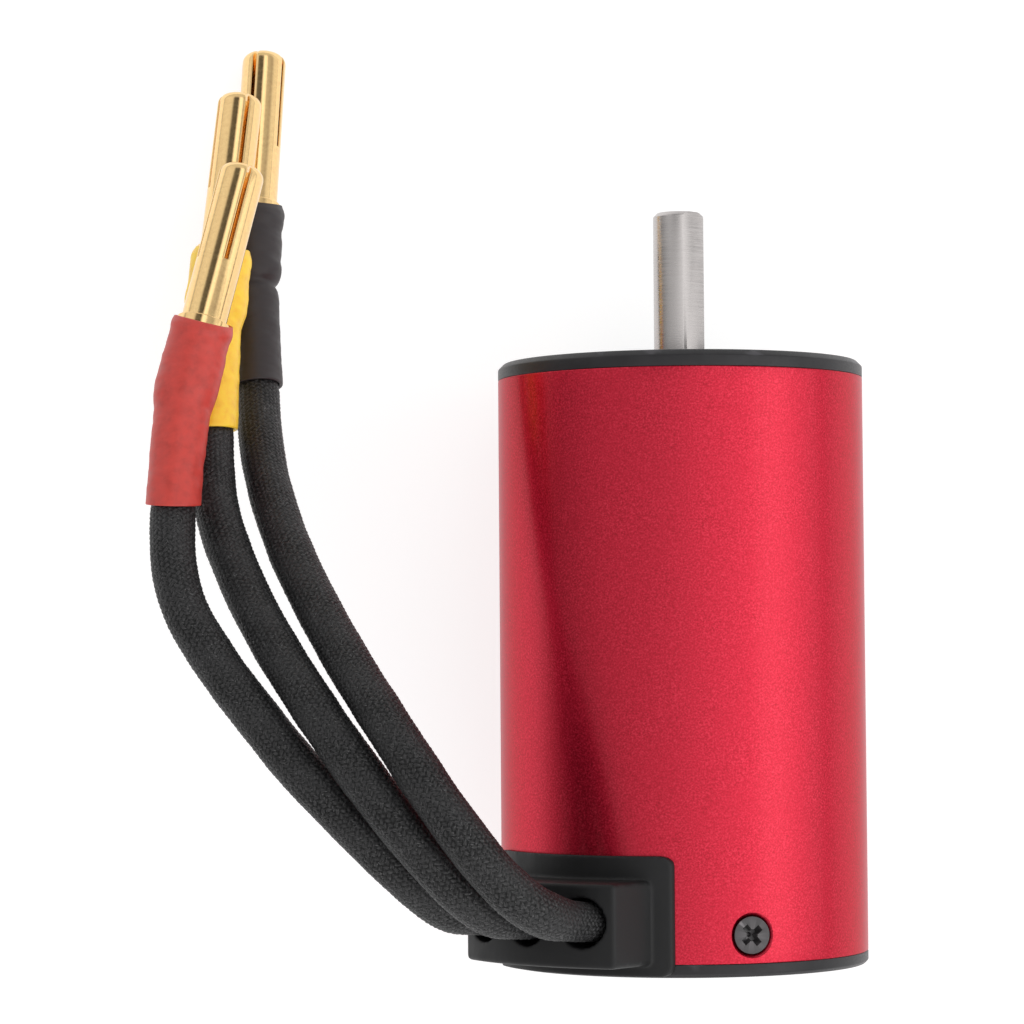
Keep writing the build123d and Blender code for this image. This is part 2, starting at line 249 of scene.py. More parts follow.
def coords_mm(nt, stretch=(1, 1, 1)):
    """Object coordinates in millimetres, with each axis scaled."""
    tc = nt.nodes.new("ShaderNodeTexCoord")
    mp = nt.nodes.new("ShaderNodeMapping")
    mp.inputs["Scale"].default_value = [1000.0 * s for s in stretch]
    nt.links.new(tc.outputs["Object"], mp.inputs["Vector"])
    return mp.outputs["Vector"]


def noise(nt, vec, scale, detail=2.0, rough=0.5, distortion=0.0):
    n = nt.nodes.new("ShaderNodeTexNoise")
    n.inputs["Scale"].default_value = scale
    n.inputs["Detail"].default_value = detail
    n.inputs["Roughness"].default_value = rough
    n.inputs["Distortion"].default_value = distortion
    nt.links.new(vec, n.inputs["Vector"])
    return n.outputs["Fac"]


def ramp(nt, fac, stops, interpolation="LINEAR"):
    r = nt.nodes.new("ShaderNodeValToRGB")
    r.color_ramp.interpolation = interpolation
    els = r.color_ramp.elements
    while len(els) < len(stops):
        els.new(0.5)
    for e, (pos, col) in zip(els, stops):
        e.position = pos
        e.color = (*col, 1.0) if len(col) == 3 else col
    nt.links.new(fac, r.inputs["Fac"])
    return r.outputs["Color"]


def to_range(nt, value, a, b, lo=0.0, hi=1.0):
    m = nt.nodes.new("ShaderNodeMapRange")
    m.inputs["From Min"].default_value = lo
    m.inputs["From Max"].default_value = hi
    m.inputs["To Min"].default_value = a
    m.inputs["To Max"].default_value = b
    nt.links.new(value, m.inputs["Value"])
    return m.outputs["Result"]


def bump(nt, height, strength, distance_mm, normal=None):
    b = nt.nodes.new("ShaderNodeBump")
    b.inputs["Strength"].default_value = strength
    b.inputs["Distance"].default_value = distance_mm * MM
    nt.links.new(height, b.inputs["Height"])
    if normal is not None:
        nt.links.new(normal, b.inputs["Normal"])
    return b.outputs["Normal"]


def mix(nt, fac, a, b, blend="MIX"):
    m = nt.nodes.new("ShaderNodeMix")
    m.data_type = "RGBA"
    m.blend_type = blend
    if isinstance(fac, float):
        m.inputs[0].default_value = fac
    else:
        nt.links.new(fac, m.inputs[0])
    for sock, val in ((m.inputs[6], a), (m.inputs[7], b)):
        if isinstance(val, (tuple, list)):
            sock.default_value = (*val, 1.0)
        else:
            nt.links.new(val, sock)
    return m.outputs[2]


def edge_wear(nt, lo=0.52, hi=0.6):
    """0 on faces and hollows, 1 on worn outer edges."""
    g = nt.nodes.new("ShaderNodeNewGeometry")
    return to_range(nt, g.outputs["Pointiness"], 0.0, 1.0, lo, hi)


def anodised(name, dark, mid, light, rough, coat, coat_rough, grain=5.5, grain_bump=0.35, spec=0.5):
    m, nt, b = new_material(name)
    v = coords_mm(nt)
    fine = noise(nt, v, grain, 3.0, 0.65)
    broad = noise(nt, v, 0.22, 3.0, 0.55)
    tone = ramp(nt, fine, [(0.3, dark), (0.5, mid), (0.7, light)])
    tone = mix(nt, to_range(nt, broad, 0.0, 0.35, 0.35, 0.7), tone, mid)
    nt.links.new(tone, b.inputs["Base Color"])
    b.inputs["Metallic"].default_value = 1.0
    b.inputs["Specular IOR Level"].default_value = spec
    nt.links.new(to_range(nt, fine, rough - 0.05, rough + 0.06, 0.3, 0.7), b.inputs["Roughness"])
    b.inputs["Coat Weight"].default_value = coat
    b.inputs["Coat Roughness"].default_value = coat_rough
    b.inputs["Coat IOR"].default_value = 1.55
    b.inputs["Specular Tint"].default_value = (0.60, 0.36, 0.38, 1.0)
    n = bump(nt, fine, grain_bump, 0.012)
    n = bump(nt, noise(nt, v, 1.3, 2.0, 0.5), 0.10, 0.02, n)
    nt.links.new(n, b.inputs["Normal"])
    return m


def black_metal(name, turning=True, rough=0.42, tone=(0.018, 0.017, 0.019)):
    """Black anodised or blackened metal: a dielectric skin over dark metal, with fine turning marks."""
    m, nt, b = new_material(name)
    v = coords_mm(nt)
    fine = noise(nt, v, 6.0, 3.0, 0.6)
    broad = noise(nt, v, 0.35, 3.0, 0.6)
    base = ramp(nt, broad, [(0.3, tuple(t * 0.75 for t in tone)), (0.7, tuple(t * 1.35 for t in tone))])
    edge = edge_wear(nt, 0.53, 0.62)
    base = mix(nt, edge, base, tuple(min(1.0, t * 3.2) for t in tone))
    nt.links.new(base, b.inputs["Base Color"])
    b.inputs["Metallic"].default_value = 0.25
    nt.links.new(to_range(nt, fine, rough - 0.07, rough + 0.08, 0.3, 0.7), b.inputs["Roughness"])
    n = bump(nt, fine, 0.18, 0.01)
    if turning:
        s = nt.nodes.new("ShaderNodeSeparateXYZ")
        nt.links.new(v, s.inputs[0])
        r2 = nt.nodes.new("ShaderNodeVectorMath")
        r2.operation = "MULTIPLY"
        r2.inputs[1].default_value = (1, 0, 1)
        nt.links.new(v, r2.inputs[0])
        ln = nt.nodes.new("ShaderNodeVectorMath")
        ln.operation = "LENGTH"
        nt.links.new(r2.outputs[0], ln.inputs[0])
        c = nt.nodes.new("ShaderNodeCombineXYZ")
        nt.links.new(ln.outputs["Value"], c.inputs[0])
        nt.links.new(s.outputs["Y"], c.inputs[1])
        n = bump(nt, noise(nt, c.outputs[0], 9.0, 2.0, 0.7), 0.22, 0.012, n)
    nt.links.new(n, b.inputs["Normal"])
    return m


def rubber(name, tone, rough, grain=7.0, strength=0.25, edge=1.6):
    m, nt, b = new_material(name)
    v = coords_mm(nt)
    fine = noise(nt, v, grain, 4.0, 0.65)
    broad = noise(nt, v, 0.5, 4.0, 0.6)
    base = ramp(nt, broad, [(0.3, tuple(t * 0.8 for t in tone)), (0.7, tuple(t * 1.25 for t in tone))])
    base = mix(nt, edge_wear(nt, 0.515, 0.6), base, tuple(t * edge for t in tone))
    dust = noise(nt, v, 2.6, 5.0, 0.8)
    base = mix(nt, to_range(nt, dust, 0.0, 0.35, 0.66, 0.74), base, tuple(t * 3.0 for t in tone))
    nt.links.new(base, b.inputs["Base Color"])
    nt.links.new(to_range(nt, broad, rough - 0.06, rough + 0.08, 0.3, 0.7), b.inputs["Roughness"])
    b.inputs["Specular IOR Level"].default_value = 0.35
    n = bump(nt, fine, strength, 0.02)
    nt.links.new(n, b.inputs["Normal"])
    return m


def shrink_material(name, tone, rough=0.42, sub=0.0, painted_glow=0.0):
    """Heat-shrunk tubing: smooth plastic with faint flow lines along it, a soft mottle and, when asked for, a painted
    glow in its own colour.
    """
    m, nt, b = new_material(name)
    uv = nt.nodes.new("ShaderNodeUVMap")
    uv.uv_map = "tube"
    mp = nt.nodes.new("ShaderNodeMapping")
    mp.inputs["Scale"].default_value = (26.0, 0.35, 1.0)
    nt.links.new(uv.outputs["UV"], mp.inputs["Vector"])
    lines = noise(nt, mp.outputs["Vector"], 1.0, 3.0, 0.6)
    v = coords_mm(nt)
    mottle = noise(nt, v, 0.9, 4.0, 0.6)
    fine = noise(nt, v, 9.0, 2.0, 0.5)
    lo, hi = tuple(t * 0.84 for t in tone), tuple(min(1.0, t * 1.12) for t in tone)
    base = ramp(nt, mottle, [(0.3, lo), (0.5, tone), (0.72, hi)])
    nt.links.new(base, b.inputs["Base Color"])
    nt.links.new(to_range(nt, mottle, rough - 0.07, rough + 0.10, 0.3, 0.7), b.inputs["Roughness"])
    b.inputs["Subsurface Weight"].default_value = sub
    b.inputs["Subsurface Radius"].default_value = (1.0, 0.5, 0.2)
    b.inputs["Subsurface Scale"].default_value = 0.0006
    # painted light: the tube's own colour is given off as a faint glow, though the tube is no lamp
    if painted_glow:
        nt.links.new(base, b.inputs["Emission Color"])
        b.inputs["Emission Strength"].default_value = painted_glow
    n = bump(nt, lines, 0.12, 0.03)
    n = bump(nt, fine, 0.10, 0.012, n)
    nt.links.new(n, b.inputs["Normal"])
    return m


def steel(name, tone, rough, along=None, scratch=0.2, metallic=1.0, blend_to=None):
    """Ground or polished metal. along names the axis that the grinding lines run across."""
    m, nt, b = new_material(name)
    stretch = {"y": (0.25, 9.0, 0.25), "x": (9.0, 0.3, 0.3), None: (2.5, 2.5, 2.5)}[along]
    v = coords_mm(nt, stretch)
    lines = noise(nt, v, 1.0, 4.0, 0.7)
    vb = coords_mm(nt)
    broad = noise(nt, vb, 0.5, 4.0, 0.6)
    lo, hi = tuple(t * 0.86 for t in tone), tuple(min(1.0, t * 1.1) for t in tone)
    base = ramp(nt, lines, [(0.3, lo), (0.7, hi)])
    base = mix(nt, to_range(nt, broad, 0.0, 0.6, 0.35, 0.7), base, blend_to or tone)
    nt.links.new(base, b.inputs["Base Color"])
    b.inputs["Metallic"].default_value = metallic
    nt.links.new(to_range(nt, lines, max(0.04, rough - 0.08), rough + 0.10, 0.3, 0.7), b.inputs["Roughness"])
    nt.links.new(bump(nt, lines, scratch, 0.012), b.inputs["Normal"])
    return m


def laminated():
    """Stacked electrical steel: fine bands across Y."""
    m, nt, b = new_material("lamination_steel")
    v = coords_mm(nt, (0.05, 1.0, 0.05))
    w = nt.nodes.new("ShaderNodeTexWave")
    w.wave_type, w.bands_direction = "BANDS", "Y"
    w.inputs["Scale"].default_value = 1.4
    w.inputs["Distortion"].default_value = 0.4
    nt.links.new(v, w.inputs["Vector"])
    nt.links.new(ramp(nt, w.outputs["Fac"], [(0.2, (0.12, 0.12, 0.125)), (0.8, (0.34, 0.34, 0.35))]), b.inputs["Base Color"])
    b.inputs["Metallic"].default_value = 0.9
    nt.links.new(to_range(nt, w.outputs["Fac"], 0.55, 0.35), b.inputs["Roughness"])
    nt.links.new(bump(nt, w.outputs["Fac"], 0.4, 0.05), b.inputs["Normal"])
    return m


def winding():
    """Enamelled copper wire laid side by side."""
    m, nt, b = new_material("enamelled_copper")
    v = coords_mm(nt)
    w = nt.nodes.new("ShaderNodeTexWave")
    w.wave_type, w.bands_direction = "RINGS", "Y"
    w.inputs["Scale"].default_value = 0.9
    w.inputs["Distortion"].default_value = 1.5
    w.inputs["Detail"].default_value = 2.0
    nt.links.new(v, w.inputs["Vector"])
    nt.links.new(ramp(nt, w.outputs["Fac"], [(0.1, (0.16, 0.04, 0.012)), (0.6, (0.62, 0.24, 0.09)), (1.0, (0.8, 0.38, 0.18))]), b.inputs["Base Color"])
    b.inputs["Metallic"].default_value = 0.85
    b.inputs["Coat Weight"].default_value = 0.6
    b.inputs["Coat Roughness"].default_value = 0.15
    nt.links.new(to_range(nt, w.outputs["Fac"], 0.45, 0.28), b.inputs["Roughness"])
    nt.links.new(bump(nt, w.outputs["Fac"], 0.6, 0.15), b.inputs["Normal"])
    return m


def plain_plastic(name, tone, rough, grain=3.0):
    m, nt, b = new_material(name)
    v = coords_mm(nt)
    n1, n2 = noise(nt, v, grain, 4.0, 0.6), noise(nt, v, 0.4, 3.0, 0.6)
    nt.links.new(ramp(nt, n2, [(0.3, tuple(t * 0.85 for t in tone)), (0.7, tuple(min(1.0, t * 1.08) for t in tone))]), b.inputs["Base Color"])
    nt.links.new(to_range(nt, n1, rough - 0.06, rough + 0.08, 0.3, 0.7), b.inputs["Roughness"])
    nt.links.new(bump(nt, n1, 0.2, 0.02), b.inputs["Normal"])
    return m


def braid_material():
    """Black yarn: painted shade in the gaps, fibres along each yarn, painted highlights on the yarn crowns and painted
    glints scattered over the yarns.
    """
    m, nt, b = new_material("braided_sleeve")
    at = nt.nodes.new("ShaderNodeAttribute")
    at.attribute_name = "relief"
    uv = nt.nodes.new("ShaderNodeUVMap")
    uv.uv_map = "yarn"
    mp = nt.nodes.new("ShaderNodeMapping")
    mp.inputs["Scale"].default_value = (5.0, 0.9, 1.0)
    nt.links.new(uv.outputs["UV"], mp.inputs["Vector"])
    fibre = noise(nt, mp.outputs["Vector"], 1.0, 3.0, 0.65)
    v = coords_mm(nt)
    fleck = noise(nt, v, 3.6, 2.0, 0.7, 0.6)
    patch = noise(nt, v, 0.9, 3.0, 0.7)
    top = ramp(nt, fibre, [(0.3, (0.002, 0.002, 0.0023)), (0.52, (0.0055, 0.0055, 0.0058)), (0.72, (0.014, 0.0138, 0.014))])
    mp3 = nt.nodes.new("ShaderNodeMapping")
    mp3.inputs["Scale"].default_value = (2.6, 0.8, 1.0)
    nt.links.new(uv.outputs["UV"], mp3.inputs["Vector"])
    strand = noise(nt, mp3.outputs["Vector"], 1.0, 2.0, 0.6)
    # painted glints: streaks along the yarns and a scatter of specks lightened to pale grey, standing in for filaments
    # catching the light
    top = mix(nt, to_range(nt, strand, 0.0, 0.75, 0.56, 0.70), top, (0.20, 0.198, 0.20))
    top = mix(nt, to_range(nt, fleck, 0.0, 0.6, 0.62, 0.74), top, (0.24, 0.238, 0.24))
    top = mix(nt, to_range(nt, patch, 0.0, 0.7, 0.46, 0.64), top, (0.006, 0.006, 0.0065))
    # painted shade: the yarn colour falls to near black where the relief is low, in the gaps between the yarns
    base = mix(nt, to_range(nt, at.outputs["Fac"], 0.0, 1.0, 0.45, 0.86), (0.0005, 0.0005, 0.0006), top)
    # painted highlight: the yarn crowns, where the relief is highest, are lightened to grey in streaks that follow the
    # strand noise
    crown = nt.nodes.new("ShaderNodeMath")
    crown.operation = "MULTIPLY"
    nt.links.new(to_range(nt, at.outputs["Fac"], 0.0, 1.0, 0.84, 0.99), crown.inputs[0])
    nt.links.new(to_range(nt, strand, 0.15, 1.0, 0.40, 0.62), crown.inputs[1])
    base = mix(nt, crown.outputs[0], base, (0.036, 0.0353, 0.0367))
    nt.links.new(base, b.inputs["Base Color"])
    nt.links.new(to_range(nt, strand, 0.52, 0.28, 0.45, 0.68), b.inputs["Roughness"])
    nt.links.new(to_range(nt, at.outputs["Fac"], 0.0, 0.44, 0.35, 0.95), b.inputs["Specular IOR Level"])
    n = bump(nt, fibre, 0.9, 0.05)
    nt.links.new(bump(nt, fleck, 0.9, 0.10, n), b.inputs["Normal"])
    return m


mats = {
    "red_anodised": anodised("red_anodised", (0.38, 0.005, 0.018), (0.60, 0.011, 0.038), (0.82, 0.038, 0.082), 0.39, 0.40, 0.20),
    "black_anodised": black_metal("black_anodised"),
    "black_steel": black_metal("black_steel", turning=False, rough=0.34, tone=(0.060, 0.056, 0.058)),
    "lamination_steel": laminated(),
    "white_insulator": plain_plastic("white_insulator", (0.78, 0.77, 0.72), 0.5),
    "slot_paper": plain_plastic("slot_paper", (0.7, 0.64, 0.45), 0.8, 6.0),
    "enamelled_copper": winding(),
    "bare_copper": steel("bare_copper", (0.80, 0.50, 0.34), 0.38, None, 0.5),
    "black_rubber": rubber("black_rubber", (0.0098, 0.0098, 0.0104), 0.52),
    "silicone_lead": rubber("silicone_lead", (0.02, 0.02, 0.02), 0.45),
    "braided_sleeve": braid_material(),
    "black_shrink": shrink_material("black_shrink", (0.026, 0.019, 0.021), 0.50),
    # the yellow sleeve gets a painted glow of 0.10 in its own colour
    "yellow_shrink": shrink_material("yellow_shrink", (1.0, 0.62, 0.045), 0.40, 0.12, 0.10),
    "red_shrink": shrink_material("red_shrink", (0.60, 0.055, 0.042), 0.44, 0.08),
    "gold_plate": steel("gold_plate", (0.97, 0.65, 0.30), 0.085, None, 0.05),
    "bearing_steel": steel("bearing_steel", (0.62, 0.62, 0.63), 0.22, None, 0.12),
    "ground_steel": steel("ground_steel", (0.54, 0.51, 0.50), 0.26, "y", 0.22),
    "magnet": steel("magnet", (0.50, 0.50, 0.48), 0.3, None, 0.15),
    "rotor_wrap": plain_plastic("rotor_wrap", (0.04, 0.04, 0.042), 0.35, 5.0),
    "brass": steel("brass", (0.75, 0.55, 0.25), 0.3, None, 0.2),
}

# ------------------------------------------------------------------- cords
# the same points as the routes in the CAD source, in millimetres
routes = {
    "black": [(-8.65, -53.55, 18.72), (-12.78, -53.55, 23.31), (-17.8, -49.94, 26.81), (-23.62, -42.18, 26.5), (-28.09, -35.47, 22.46), (-31.54, -30.4, 17.86), (-34.1, -26.18, 14.13), (-36.19, -22.49, 10.91), (-38.71, -17.53, 6.6), (-41.42, -9.74, 0.18), (-42.48, -0.35, -7.21), (-43.06, 8.0, -9.67)],
    "yellow": [(-13.72, -53.55, 15.23), (-18.04, -53.55, 20.04), (-22.43, -49.91, 23.48), (-28.64, -42.63, 23.32), (-33.56, -36.04, 20.29), (-37.05, -31.07, 16.7), (-39.8, -26.94, 13.36), (-42.86, -21.53, 9.22), (-45.96, -13.88, 4.41), (-46.46, -4.94, 0.13), (-46.39, 3.04, -2.31)],
    "red": [(-17.71, -53.55, 10.55), (-22.08, -53.55, 15.4), (-27.18, -48.93, 19.76), (-33.32, -42.77, 19.43), (-37.66, -38.3, 17.88), (-40.71, -34.49, 16.33), (-44.33, -30.1, 14.48), (-49.05, -22.78, 11.89), (-49.57, -13.47, 9.0), (-48.7, -4.58, 6.24)],
}
plugs = {
    "black": {"rim": (-42.39, -1.74, -6.80), "neck": (-43.14, 9.15, -10.01), "top": (-42.89, 17.72, -12.12), "tip": (-42.10, 34.05, -16.25)},
    "yellow": {"rim": (-46.48, -6.33, 0.55), "neck": (-46.38, 4.19, -2.66), "top": (-45.65, 12.25, -4.77), "tip": (-43.99, 28.90, -8.90)},
    "red": {"rim": (-49.60, -13.81, 9.10), "neck": (-48.59, -3.43, 5.89), "top": (-46.84, 4.18, 3.78), "tip": (-43.12, 20.11, -0.35)},
}


def nurbs_line(name, points):
    """The points that a smooth NURBS curve through these control points follows, in millimetres."""
    cu = bpy.data.curves.new(name, "CURVE")
    cu.dimensions = "3D"
    cu.resolution_u = 32
    sp = cu.splines.new("NURBS")
    sp.points.add(len(points) - 1)
    for p, c in zip(sp.points, points):
        p.co = (c[0] * MM, c[1] * MM, c[2] * MM, 1.0)
    sp.order_u = 3
    sp.use_endpoint_u = True
    ob = bpy.data.objects.new(name, cu)
    scene.collection.objects.link(ob)
    bpy.context.view_layer.update()
    me = bpy.data.meshes.new_from_object(ob)
    out = np.array([v.co for v in me.vertices], float) / MM
    bpy.data.objects.remove(ob)
    bpy.data.curves.remove(cu)
    bpy.data.meshes.remove(me)
    return out


def stations(line, count=None, step=None):
    """Evenly spaced places along a line, with a direction and two side vectors at each that turn as little as possible."""
    d = np.r_[0, np.cumsum(np.linalg.norm(np.diff(line, axis=0), axis=1))]
    total = d[-1]
    s = np.linspace(0, total, count) if count else np.arange(0, total, step)
    p = np.stack([np.interp(s, d, line[:, k]) for k in range(3)], 1)
    t = np.gradient(p, s, axis=0)
    for _ in range(3):
        t[1:-1] = (t[:-2] + 2 * t[1:-1] + t[2:]) / 4
    t /= np.linalg.norm(t, axis=1)[:, None]
    u = np.zeros_like(p)
    start = np.cross(t[0], [0.0, 1.0, 0.0])
    if np.linalg.norm(start) < 0.1:
        start = np.cross(t[0], [0.0, 0.0, 1.0])
    u[0] = start / np.linalg.norm(start)
    for i in range(1, len(p)):
        v = u[i - 1] - (u[i - 1] @ t[i]) * t[i]
        u[i] = v / np.linalg.norm(v)
    w = np.cross(t, u)
    return s, p, t, u, w


YARNS, CELL, FINE = 28, 0.50, 3


def braid(name, line, seed, hidden):
    """A closed tube of braided yarn along a line. hidden gives the lengths at each end that sit inside other pieces."""
    step = CELL / (2 * FINE)
    s, p, t, u, w = stations(line, step=step)
    rows, cols = len(s), YARNS * FINE
    r_i = np.arange(rows)[:, None]
    c_i = np.arange(cols)[None, :]
    theta = (c_i + (r_i % 2) * 0.5) * 2 * math.pi / cols
    wander = 0.10 * noise_1d(s * 0.12, seed)[:, None]
    A = YARNS * theta / (2 * math.pi) + s[:, None] / CELL
    B = YARNS * theta / (2 * math.pi) - s[:, None] / CELL
    # on the lattice the yarn edges fall between rows; a small phase keeps the crowns on them
    A, B = A + 0.5 / FINE, B + 0.5 / FINE
    ia, jb = np.floor(A + 1e-6), np.floor(B + 1e-6)
    fa, fb = A - ia - 0.5, B - jb - 0.5
    ha = 0.085 * np.sin(math.pi * ((ia + B) % 4) / 2)
    hb = -0.085 * np.sin(math.pi * ((A + jb) % 4) / 2)
    ca = 0.13 * np.sqrt(np.clip(1 - (1.9 * fa) ** 2, 0, 1))
    cb = 0.13 * np.sqrt(np.clip(1 - (1.9 * fb) ** 2, 0, 1))
    uneven = 0.012 * np.sin(ia * 12.9898 + seed) + 0.012 * np.sin(jb * 78.233 + seed)
    height = np.maximum(ha + ca, hb + cb) + uneven
    # relief runs from 0 in the gaps to 1 on the yarn crowns; the material uses it for painted shade in the gaps and
    # painted highlights on the crowns
    relief = np.clip((height + 0.02) / 0.20, 0, 1)
    soft = 0.02 * noise_1d(s * 0.5, seed + 5)[:, None] + 0.025 * np.sin(2 * (theta + wander)) * noise_1d(s * 0.25, seed + 9)[:, None]
    radius = 2.01 + height + soft
    squeeze = np.clip((7.4 - s) / 3.8, 0, 1)[:, None]
    radius = radius * (1 - 0.15 * squeeze * squeeze * (3 - 2 * squeeze))
    ends = np.minimum(np.clip((s - hidden[0]) / 1.0, 0, 1), np.clip((s[-1] - hidden[1] - s) / 1.0, 0, 1))[:, None]
    radius = radius * ends + np.minimum(radius, 2.13) * (1 - ends)
    cth, sth = np.cos(theta)[..., None], np.sin(theta)[..., None]
    v = p[:, None, :] + radius[..., None] * (cth * u[:, None, :] + sth * w[:, None, :])
    v = v.reshape(-1, 3)
    v = np.vstack([v, p[0], p[-1]])
    even = np.arange(0, rows - 1, 2)
    odd = np.arange(1, rows - 1, 2)
    c = np.arange(cols)
    c1 = (c + 1) % cols
    tris, corner_rc = [], []

    def add(r, parts):
        R = r[:, None]
        tri = np.stack([(R + dr) * cols + (c1 if dc else c)[None, :] for dr, dc in parts], -1)
        rc = np.stack([np.stack(np.broadcast_arrays(R + dr, c[None, :] + dc), -1) for dr, dc in parts], -2)
        tris.append(tri.reshape(-1, 3))
        corner_rc.append(rc.reshape(-1, 3, 2))

    add(even, [(0, 0), (0, 1), (1, 0)])
    add(even, [(0, 1), (1, 1), (1, 0)])
    add(odd, [(0, 0), (0, 1), (1, 1)])
    add(odd, [(0, 0), (1, 1), (1, 0)])
    tris, rc = np.vstack(tris), np.vstack(corner_rc)
    n0, n1 = len(v) - 2, len(v) - 1
    caps = np.vstack([np.stack([np.full(cols, n0), c1, c], -1), np.stack([np.full(cols, n1), (rows - 1) * cols + c, (rows - 1) * cols + c1], -1)])
    th = (rc[..., 1] + (rc[..., 0] % 2) * 0.5) * 2 * math.pi / cols
    sa = rc[..., 0] * step
    a = YARNS * th / (2 * math.pi) + sa / CELL + 0.5 / FINE
    b = YARNS * th / (2 * math.pi) - sa / CELL + 0.5 / FINE
    am, bm = a.mean(1), b.mean(1)
    on_a = ((np.floor(am) + np.floor(bm)) % 4) < 2
    across = np.where(on_a[:, None], a, b + 37.3)
    along = np.where(on_a[:, None], b, a + 11.7)
    uv = np.stack([across, along + np.floor(np.where(on_a, am, bm))[:, None] * 3.71], -1)
    faces = np.vstack([tris, caps])
    uv = np.vstack([uv, np.zeros((len(caps), 3, 2))])
    if outward(v, faces) is not faces:
        faces, uv = faces[:, ::-1], uv[:, ::-1]
    ob = add_mesh(name, v, np.ascontiguousarray(faces), mats["braided_sleeve"])
    layer = ob.data.uv_layers.new(name="yarn")
    layer.data.foreach_set("uv", uv.astype(np.float32).ravel())
    at = ob.data.attributes.new("relief", "FLOAT", "POINT")
    at.data.foreach_set("value", np.r_[relief.ravel(), 0, 0].astype(np.float32))
    return ob


def sleeve_tube(name, line, outer, wall, material, seed, wrinkle, slants=(0.0, 0.0)):
    """A closed tube with a wall. outer is a list of (place from 0 to 1, radius); its ends are rounded."""
    rows, cols = 170, 96
    s, p, t, u, w = stations(line, count=rows)
    q = s / s[-1]
    xs, rs = np.array([o[0] for o in outer]), np.array([o[1] for o in outer])
    fine_q = np.linspace(0, 1, 1201)
    base = np.interp(fine_q, xs, rs)
    kernel = np.exp(-0.5 * (np.arange(-36, 37) / 13.0) ** 2)
    kernel /= kernel.sum()
    base = np.convolve(np.pad(base, 36, mode="edge"), kernel, mode="valid")
    r0 = np.interp(q, fine_q, base)[:, None]
    th = (np.arange(cols) * 2 * math.pi / cols)[None, :]
    S = s[:, None]
    dent = 0.045 * np.sin(2 * th + noise_1d(S * 0.35, seed) * 2.0) * noise_1d(S * 0.45, seed + 3)
    dent += 0.03 * np.sin(3 * th + S * 0.30 + seed) * noise_1d(S * 0.8, seed + 7)
    dent += 0.016 * np.sin(5 * th - S * 0.5 + seed * 2) * noise_1d(S * 1.3, seed + 11)
    r_out = r0 + wrinkle * dent
    r_in = r0 - wall + 0.3 * wrinkle * dent
    dirs = np.cos(th)[..., None] * u[:, None, :] + np.sin(th)[..., None] * w[:, None, :]
    edge = 0.13
    # both ends are cut a little oblique: their upper side reaches further back
    slant = np.clip(1 - s / 5.0, 0, 1)[:, None] ** 2 * slants[0] + np.clip(1 - (s[-1] - s) / 4.0, 0, 1)[:, None] ** 2 * slants[1]
    slant = slant * dirs[..., 2]
    slant = slant + 0.02 * np.sin(2 * th + seed) * np.clip(1 - (s[-1] - s) / 3.0, 0, 1)[:, None]
    rings = []

    # outer surface, then the far rim, then the inner surface back to the near rim
    def ring(k, r, o):
        rings.append(p[k] + r[:, None] * dirs[k] + t[k] * (o - slant[k] * r)[:, None])

    zero = np.zeros(cols)
    for k in range(rows):
        ring(k, r_out[k], zero)
    for a in (0.35, 0.75, 1.0):
        ring(rows - 1, r_out[-1] - a * edge, zero + edge * math.sqrt(1 - (1 - a) ** 2))
    ring(rows - 1, r_in[-1] + edge, zero + edge)
    ring(rows - 1, r_in[-1], zero)
    for k in range(rows - 2, 0, -3):
        ring(k, r_in[k], zero)
    ring(0, r_in[0], zero)
    ring(0, r_in[0] + edge, zero - edge)
    for a in (1.0, 0.75, 0.35):
        ring(0, r_out[0] - a * edge, zero - edge * math.sqrt(1 - (1 - a) ** 2))
    v = np.vstack(rings)
    n = len(rings)
    i, j = np.meshgrid(np.arange(n), np.arange(cols), indexing="ij")
    i1, j1 = (i + 1) % n, (j + 1) % cols
    f = np.stack([i * cols + j, i1 * cols + j, i1 * cols + j1, i * cols + j1], -1).reshape(-1, 4)
    uv = np.stack([np.stack([jj / cols, ii * 0.1], -1) for ii, jj in ((i, j), (i + 1, j), (i + 1, j + 1), (i, j + 1))], -2).reshape(-1, 4, 2)
    g = outward(v, f)
    if g is not f:
        uv = uv[:, ::-1]
    ob = add_mesh(name, v, np.ascontiguousarray(g), material)
    layer = ob.data.uv_layers.new(name="tube")
    layer.data.foreach_set("uv", uv.astype(np.float32).ravel())
    return ob


PIN_R, PIN_LEN, TIP_R, SLIT, SLIT_LEN, BORE = 2.25, 16.65, 1.05, 0.36, 10.45, 0.75


